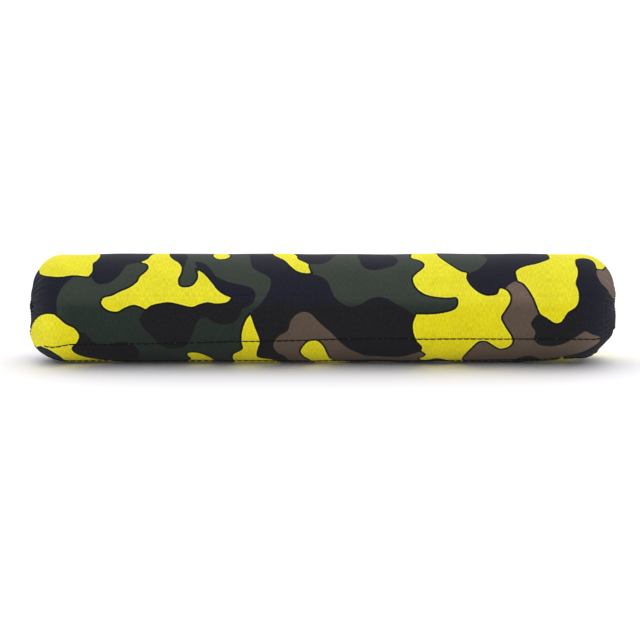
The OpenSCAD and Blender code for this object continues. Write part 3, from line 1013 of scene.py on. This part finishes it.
def stitches(name, seam, surfaces, body, node):
    """A line of stitching over each surface, which is a height and the way that the thread arches: 1 is
    outwards and -1 inwards. Each stitch is a short arched length of thread from hole to hole."""
    count = 2 * int(U_TAPE / STITCH) + 2
    centres = (np.arange(count) - (count - 1) / 2) * STITCH
    random = np.random.default_rng(int(abs(seam * 10)))
    share = np.linspace(-1, 1, 9)
    sides = 7
    rings, lengths = [], []
    for surface, way in surfaces:
        for centre in centres:
            reach = STITCH / 2 * random.uniform(0.86, 0.95)
            u = centre + share * reach
            v = seam_v(u, seam) + random.uniform(-0.12, 0.12) * share
            arch = 0.5 * (1 - np.abs(share) ** 6) - 0.2
            path = on_pad(u, v, surface(u, v) + way * arch)
            thickness = 0.52 * (1 - 0.25 * np.abs(share) ** 4) * random.uniform(0.92, 1.08)
            rings.append(tube(path, thickness, sides, twist=0.5))
            lengths.append(np.repeat(u, sides))
    one = quads_over(len(share), sides, ring_columns=True)
    faces = repeated(one, len(share) * sides, len(rings))
    values = {"u": np.array(lengths), "v": np.tile(np.arange(sides) * 0.3, len(share) * len(rings))}
    seam_piece = piece_from(name, np.array(rings), faces, [thread], values=values)
    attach(seam_piece, body)
    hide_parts(node)


# The levels of each tape's base, and the path of one hook or loop on it, as steps forward and heights
HOOK_BASE = (FLAP_LEVEL - FLAP_THICK - 0.55, FLAP_LEVEL - FLAP_THICK + 0.05)
LOOP_BASE = (LANDING_LEVEL, LANDING_LEVEL + 0.5)
HOOKS = {
    "root": HOOK_BASE[0], "radii": [0.16, 0.13, 0.12, 0.1, 0.08],
    "steps": np.array([(0.0, 0.1), (0.0, -0.3), (0.08, -0.52), (0.26, -0.55), (0.36, -0.4)])}
LOOPS = {
    "root": LOOP_BASE[1], "radii": [0.09, 0.08, 0.07, 0.08, 0.09],
    "steps": np.array([(-0.45, -0.1), (-0.3, 0.35), (0.0, 0.5), (0.3, 0.35), (0.45, -0.1)])}


def make_closure():
    """The two tapes and their four lines of stitching."""
    hooks = make_tape("hook", HOOK_BASE, HOOKS, hook_nylon, 41, 1.5, FLAP)
    loops = make_tape("loop", LOOP_BASE, LOOPS, loop_nylon, 42, 1.45, LOWER)

    def hook_face(u, v):
        return HOOK_BASE[0] + slump(u, v)

    def loop_face(u, v):
        return LOOP_BASE[1] + slump(u, v)

    on_hooks, on_loops = [(flap_level, 1), (hook_face, -1)], [(loop_face, 1)]
    stitches("flap_stitching_upper", SEAM_TOP_V, on_hooks, FLAP, "hook_tape_seam_upper")
    stitches("flap_stitching_lower", SEAM_BOTTOM_V, on_hooks, FLAP, "hook_tape_seam_lower")
    stitches("loop_stitching_upper", SEAM_TOP_V, on_loops, LOWER, "loop_tape_seam_upper")
    stitches("loop_stitching_lower", SEAM_BOTTOM_V, on_loops, LOWER, "loop_tape_seam_lower")


# ---- Camera, light and floor ----

VIEW_TILT = math.radians(10)
VIEW_DISTANCE = 3500.0
VIEW_WIDTH = 492.2  # the width of the picture at the pad
VIEW_X, VIEW_UP = -1.9, -9.4  # from the pad's middle to the middle of the picture
SENSOR = 36.0


def add_camera():
    """A long lens at the photograph's angle."""
    ahead = np.array([0, math.cos(VIEW_TILT), -math.sin(VIEW_TILT)])
    up = np.array([0, math.sin(VIEW_TILT), math.cos(VIEW_TILT)])
    target = np.array([VIEW_X, 0, 0]) + VIEW_UP * up
    camera = bpy.data.objects.new("camera", bpy.data.cameras.new("camera"))
    camera.data.sensor_width = SENSOR
    camera.data.lens = SENSOR * VIEW_DISTANCE / VIEW_WIDTH
    camera.data.clip_end = 100
    camera.location = (target - ahead * VIEW_DISTANCE) * MM
    camera.rotation_euler = (math.pi / 2 - VIEW_TILT, 0, 0)
    bpy.context.scene.collection.objects.link(camera)
    bpy.context.scene.camera = camera


def add_area_light(name, place, tilt, size, power):
    """A rectangular light at a place in metres, tilted about X from facing straight down."""
    light = bpy.data.lights.new(name, "AREA")
    light.shape = "RECTANGLE"
    light.size, light.size_y = size
    light.energy = power
    holder = bpy.data.objects.new(name, light)
    holder.location = place
    holder.rotation_euler = (math.radians(tilt), 0, 0)
    bpy.context.scene.collection.objects.link(holder)


def add_floor():
    """A wide, nearly white floor, as rings of faces that grow wider outwards."""
    graph = Graph("pale_floor")
    place = graph.add("ShaderNodeTexCoord", {}).outputs["Object"]
    grain = graph.noise(place, 3.0, 2)
    colour = graph.mix(grain, (0.965, 0.95, 0.98, 1), (0.975, 0.96, 0.99, 1))
    paint = graph.finish(colour, graph.step(grain, 0.2, 0.8, 0.85, 0.95), grain, 0.01, specular=0.05)
    rings, spokes = np.array([0.001, 0.3, 1, 3, 10, 40]) / MM, 48
    angle = 2 * math.pi * np.arange(spokes) / spokes
    x, y = rings[:, None] * np.cos(angle), rings[:, None] * np.sin(angle)
    points = np.stack(np.broadcast_arrays(x, y, FLOOR_Z), axis=-1)
    floor = piece_from("floor", points, quads_over(len(rings), spokes, ring_columns=True), [paint])


def add_surround():
    """A white surround that is brighter above and behind the pad, and darker beyond its two ends."""
    graph = Graph("surround", "worlds")
    ahead = graph.add("ShaderNodeTexCoord", {}).outputs["Generated"]
    inputs = {0: ahead, 1: (-0.3, 0.0, 0.0), 2: (0.0, 0.56, 0.33)}
    weights = graph.add("ShaderNodeVectorMath", inputs, operation="MULTIPLY_ADD").outputs["Vector"]
    slope = graph.add("ShaderNodeVectorMath", {0: ahead, 1: weights}, operation="DOT_PRODUCT")
    background = graph.tree.nodes["Background"]
    graph.tree.links.new(graph.math("ADD", slope.outputs["Value"], 0.885), background.inputs["Strength"])
    background.inputs["Color"].default_value = (1, 1, 1, 1)
    bpy.context.scene.world = graph.owner


def add_studio():
    """The floor, the surround, a soft light overhead and a fill light low in front."""
    add_floor()
    add_surround()
    add_area_light("overhead", (0, 0.9, 1.5), -31, (2.4, 1.6), 7.5)
    add_area_light("front_fill", (0, -4.6, 0.3), 86, (2.0, 0.6), 45)
    bpy.context.scene.view_settings.view_transform = "Standard"


add_camera()
add_studio()
make_foam()
make_lining()
make_cover(make_ends())
make_flap()
make_closure()
